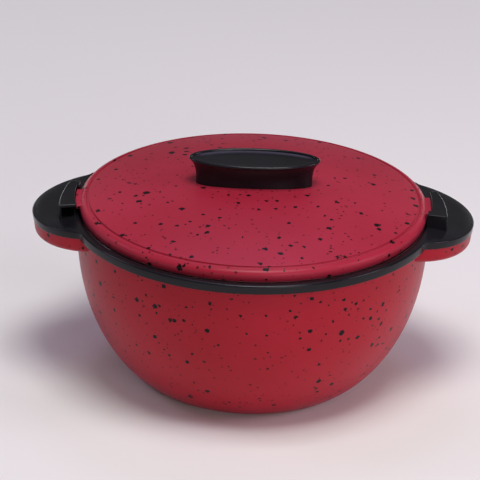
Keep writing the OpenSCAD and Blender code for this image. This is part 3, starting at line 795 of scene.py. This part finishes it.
q = np.linspace(0, 1, 40)
side_line = np.stack([knob_waist * (1 - q ** 3.2), q * side_h], 1)
t = np.radians(np.linspace(0, 180, 20))[1:]
crest = np.minimum(knob_lip * np.sin(t), knob_lip - crest_trim)
lip_line = np.stack([lip_w / 2 * (1 - np.cos(t)), side_h + crest], 1)
dish_in = np.linspace(lip_w, knob_w / 2, 40)[1:]
t = np.clip((dish_in - lip_w) / dish_slope, 0, 1) * np.pi / 2
dish_line = np.stack([dish_in, side_h - (dish_d - knob_lip) * np.sin(t)], 1)
knob_line = np.vstack([side_line, lip_line, dish_line])
a = 2 * np.pi * np.arange(256) / 256
half_l, half_w = knob_l / 2 - knob_line[:, 0], knob_w / 2 - knob_line[:, 0]
x, y = half_l[:, None] * np.cos(a), half_w[:, None] * np.sin(a)
z = dome_z + knob_line[:, 1][:, None] + 0 * a
sink = (on_dome(x[0], y[0]) - dome_z - foot_sink)[None]
z = z + sink * np.clip(1 - knob_line[:, 1] / foot_blend, 0, 1)[:, None]
places = np.stack([x, y, z], -1).reshape(-1, 3)
faces = lattice(len(knob_line), len(a), False, True)
knob = skin("knob_shell", places, faces, "lid", "black_plastic", charcoal)
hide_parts("knob")

# Knob screws. Two longer screws of the same kind, driven from inside the lid against its two
# pads and half-way up the knob.
knob_screw_x, pad_t = 22, 0.8
pad_z = dome_z - knob_screw_x ** 2 / (2 * dome_ball) - lid_wall - pad_t
pair = pair_of(lid_wall + 0.5 * knob_h, (-knob_screw_x, 0, pad_z), (knob_screw_x, 0, pad_z))
knob_screws = skin("knob_screw_set", *pair, "lid", "screw_steel", zinc)
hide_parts("knob_screws")

# ---------------------------------------------------------------------------------------
# Studio. A plain pale floor, a soft lamp overhead and a weaker one in front on the right.
# Faint violet and pink ones at the back and the sides light the tops and the bowl's edges, and
# two small ones low at the back draw the thin highlight along the outer edge of each roof.
floor_paint, tree = nodes_of("pale_floor")
shader = tree.nodes["Principled BSDF"]
shader.inputs["Base Color"].default_value = (0.84, 0.82, 0.80, 1)
shader.inputs["Roughness"].default_value = 0.8
mesh = bpy.data.meshes.new("floor")
mesh.from_pydata([(-6, -6, 0), (6, -6, 0), (6, 8, 0), (-6, 8, 0)], [], [(0, 1, 2, 3)])
mesh.materials.append(floor_paint)
ground = bpy.data.objects.new("floor", mesh)
bpy.context.scene.collection.objects.link(ground)


def soft_lamp(name, place, target, size, power, tint=(1, 1, 1)):
    """A square lamp that faces a target."""
    light = bpy.data.lights.new(name, "AREA")
    light.size, light.energy, light.color = size, power, tint
    lamp = bpy.data.objects.new(name, light)
    lamp.matrix_world = Matrix.Translation(place) @ (
        Vector(target) - Vector(place)).to_track_quat("-Z", "Y").to_matrix().to_4x4()
    bpy.context.scene.collection.objects.link(lamp)


soft_lamp("overhead", (0.15, -0.5, 2.0), (0, 0, 0.1), 0.8, 26)
soft_lamp("front_fill", (0.9, -2.2, 0.75), (0, 0, 0.06), 0.9, 10.5, (1, 0.95, 0.98))
soft_lamp("high_back", (0.0, 0.95, 1.65), (0, 0, 0.12), 0.7, 3.5, (0.70, 0.60, 1))
soft_lamp("left_side", (-1.45, 0.25, 1.1), (0, 0, 0.1), 0.5, 3.5, (0.82, 0.72, 1))
soft_lamp("right_side", (1.5, -0.4, 0.85), (0, 0, 0.1), 0.6, 7, (1, 0.82, 1))
soft_lamp("left_rear", (-0.62, 1.4, 0.36), (0, 0, 0.1), 0.22, 0.8)
soft_lamp("right_rear", (0.62, 1.4, 0.36), (0, 0, 0.1), 0.22, 0.8)
sky = bpy.data.worlds.new("sky")
bpy.context.scene.world = sky
sky.use_nodes = True
sky.node_tree.nodes["Background"].inputs["Color"].default_value = (1, 1, 1, 1)
sky.node_tree.nodes["Background"].inputs["Strength"].default_value = 0.12
